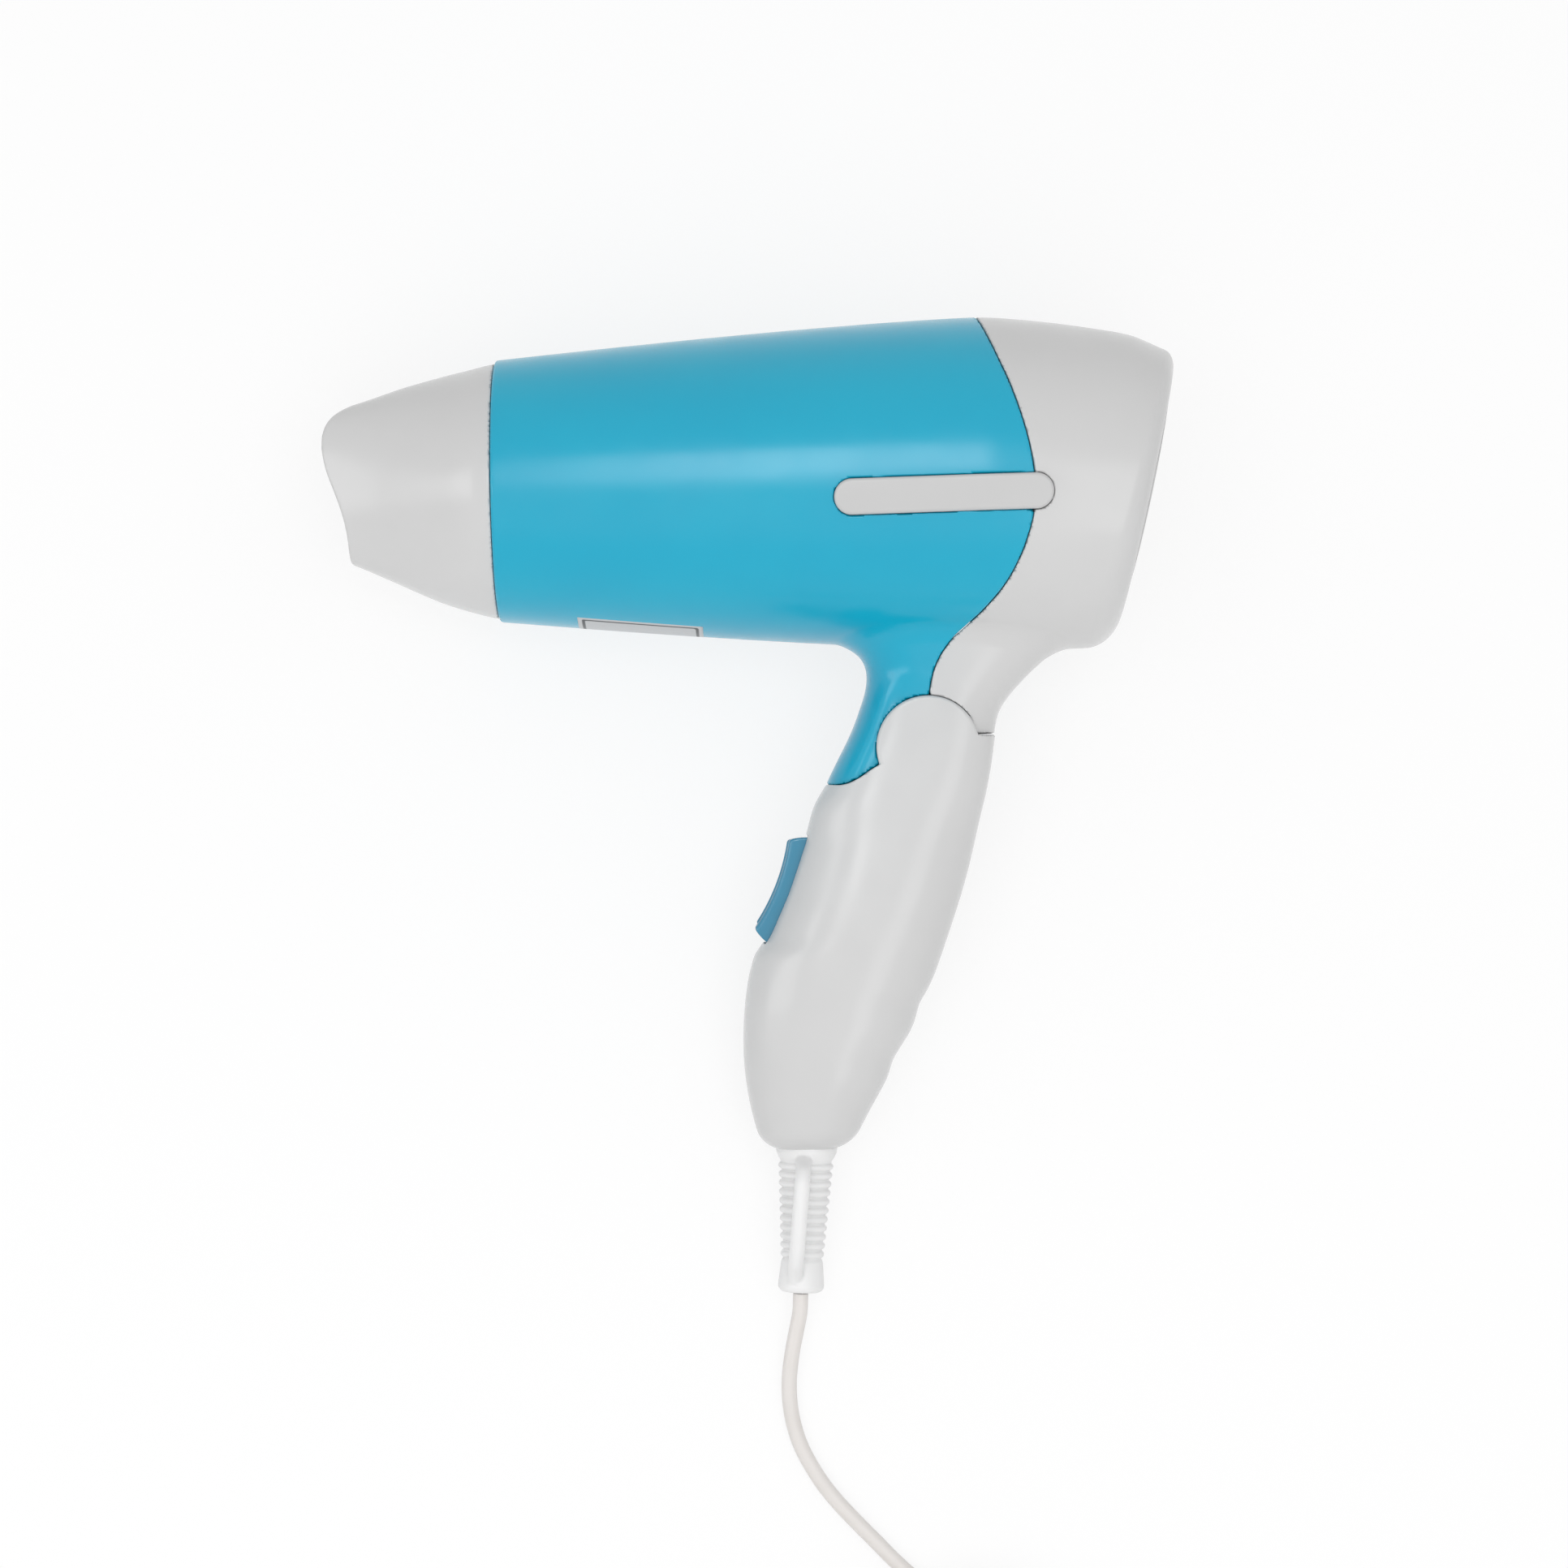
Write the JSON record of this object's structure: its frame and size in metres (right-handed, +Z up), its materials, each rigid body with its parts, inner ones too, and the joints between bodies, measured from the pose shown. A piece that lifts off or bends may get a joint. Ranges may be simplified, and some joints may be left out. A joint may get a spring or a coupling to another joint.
{
  "type": "hair dryer",
  "caption": "Folding hair dryer with a flattened concentrator nozzle, rocker switch in the handle, hang-up loop at the strain relief and a coiled mains lead with a plug.",
  "frame": {"origin": "centre of the bottom of the dryer's own box, on the surface that it lies on, without the cord", "axes": "+Z up from the table; the dryer lies on its side with the barrel across, air outlet towards -X and the handle towards -Y"},
  "size_m": [0.2, 0.3501, 0.0815],
  "materials": {
    "blue_plastic": "glossy moulded",
    "grey_plastic": "glossy moulded",
    "white_plastic": "satin moulded",
    "dark_plastic": "moulded",
    "silver_label": "satin foil",
    "mica_sheet": "pressed sheet",
    "heating_wire": "drawn wire",
    "steel": "plated",
    "ceramic_white": "glazed",
    "circuit_board": "laminate",
    "brass": "plated",
    "wire_sleeve": "extruded",
    "capacitor_yellow": "moulded",
    "soft_white": "satin moulded",
    "cord_white": "extruded",
    "tie_black": "moulded"
  },
  "bodies": {
    "handle": {"handle_left": "grey_plastic", "handle_right": "grey_plastic", "handle_screws": "steel", "pivot_pin": "steel", "friction_washers": "brass", "switch_body": "dark_plastic", "switch_terminals": "brass", "capacitor": "capacitor_yellow", "cord_clamp": "white_plastic", "clamp_screws": "steel", "handle_wires": "wire_sleeve", "strain_relief": "soft_white", "cord": "cord_white", "cord_coil": "cord_white", "coil_tie": "tie_black", "plug_body": "cord_white", "plug_pins": "brass"},
    "head": {"front_shell": "blue_plastic", "rear_shell": "grey_plastic", "trim_left": "white_plastic", "trim_right": "white_plastic", "rating_label": "silver_label", "outlet_collar": "dark_plastic", "outlet_guard": "dark_plastic", "heater_sleeve": "mica_sheet", "heater_frame": "mica_sheet", "heater_coils": "heating_wire", "thermostat": "steel", "thermal_fuse": "ceramic_white", "fan_housing": "dark_plastic", "motor_can": "steel", "motor_end_cap": "dark_plastic", "rectifier_board": "circuit_board", "inlet_grille": "dark_plastic", "inlet_screen": "steel", "shell_screws": "steel", "head_wires": "wire_sleeve"},
    "rotor": {"motor_shaft": "steel", "fan": "dark_plastic"},
    "clip_ring": {"nozzle_clip_ring": "dark_plastic"},
    "nozzle": {"nozzle": "grey_plastic"},
    "rocker": {"switch_rocker": "blue_plastic"}
  },
  "joints": [
    {"name": "fold", "type": "hinge", "parent": "handle", "child": "head", "pos_m": [0.04189, 0.01348, 0.03004], "axis": [-0.0941, -0.1621, 0.9823], "range_deg": [0, 70]},
    {"name": "fan_spin", "type": "hinge", "parent": "head", "child": "rotor", "pos_m": [0.04621, 0.07446, 0.04052], "axis": [0.9954, 0, 0.0953], "continuous": true},
    {"name": "nozzle_pull", "type": "slide", "parent": "head", "child": "clip_ring", "axis": [-0.9954, 0, -0.0953], "range_m": [0, 0.02]},
    {"name": "nozzle_turn", "type": "hinge", "parent": "clip_ring", "child": "nozzle", "pos_m": [-0.0613, 0.07446, 0.03022], "axis": [-0.9954, 0, -0.0953], "continuous": true},
    {"name": "switch_rock", "type": "hinge", "parent": "handle", "child": "rocker", "pos_m": [0.01343, -0.02066, 0.02168], "axis": [-0.0941, -0.1621, 0.9823], "range_deg": [-7, 7]}
  ]
}
